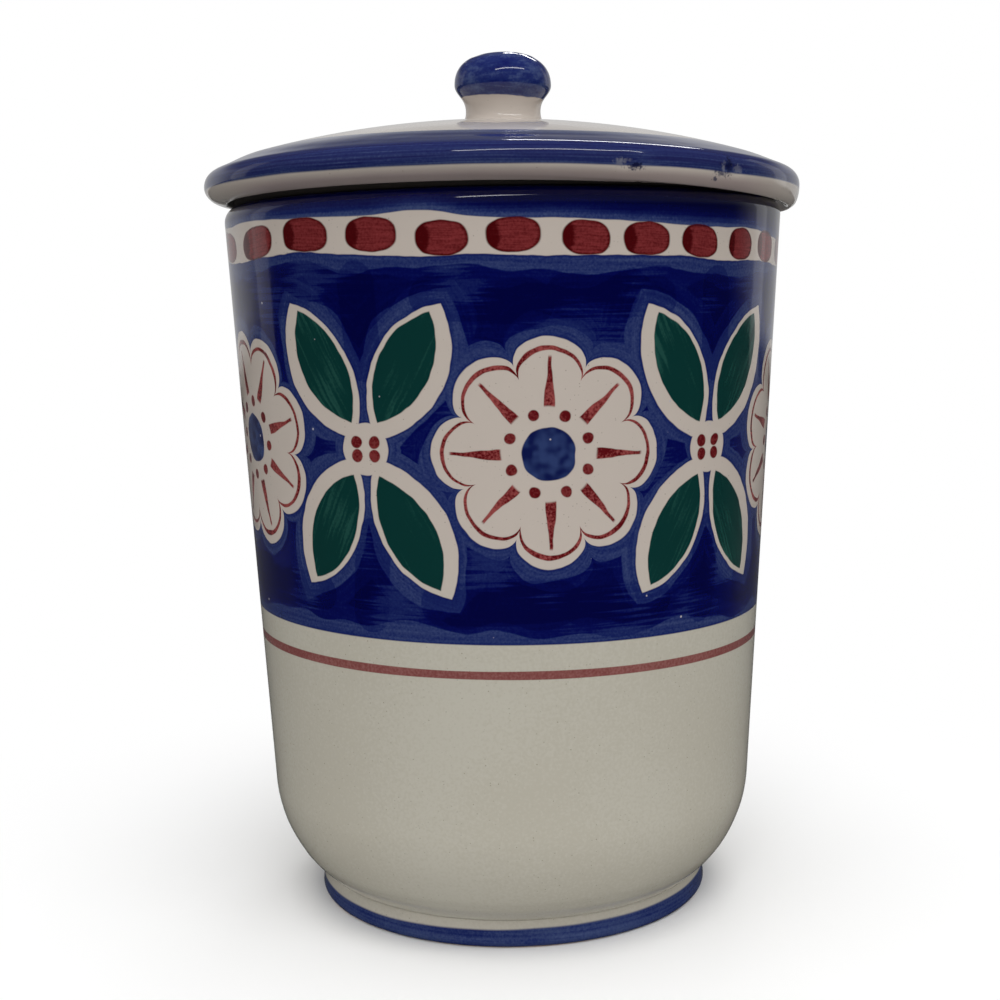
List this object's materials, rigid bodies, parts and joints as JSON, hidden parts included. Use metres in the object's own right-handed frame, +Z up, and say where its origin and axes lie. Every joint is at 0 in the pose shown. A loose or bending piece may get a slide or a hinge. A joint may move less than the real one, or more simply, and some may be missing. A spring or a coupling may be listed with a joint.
{
  "type": "lidded canister",
  "caption": "Round glazed earthenware kitchen canister with a loose domed lid, a waisted knob, a turned foot ring and hand-painted bands.",
  "frame": {"origin": "middle of the foot ring's lower face, at the height of the table", "axes": "+Z up along the jar's axis; the painted front faces -Y"},
  "size_m": [0.1856, 0.1856, 0.267],
  "materials": {
    "jar_glaze": "glossy cream glaze, painted",
    "foot_glaze": "glossy blue glaze, bare clay below",
    "lid_glaze": "glossy cream glaze, blue lip",
    "flange_glaze": "cream glaze, bare lower edge",
    "knob_glaze": "glossy blue glaze, cream neck"
  },
  "bodies": {
    "jar": {"jar_body": "jar_glaze", "foot_ring": "foot_glaze"},
    "flange": {"lid_flange": "flange_glaze"},
    "lid": {"lid_dome": "lid_glaze", "lid_knob": "knob_glaze"}
  },
  "joints": [
    {"name": "lid_lift", "type": "slide", "parent": "jar", "child": "flange", "axis": [0, 0, 1], "range_m": [0, 0.12]},
    {"name": "lid_turn", "type": "hinge", "parent": "flange", "child": "lid", "pos_m": [0, 0, 0.22], "axis": [0, 0, 1], "continuous": true}
  ]
}
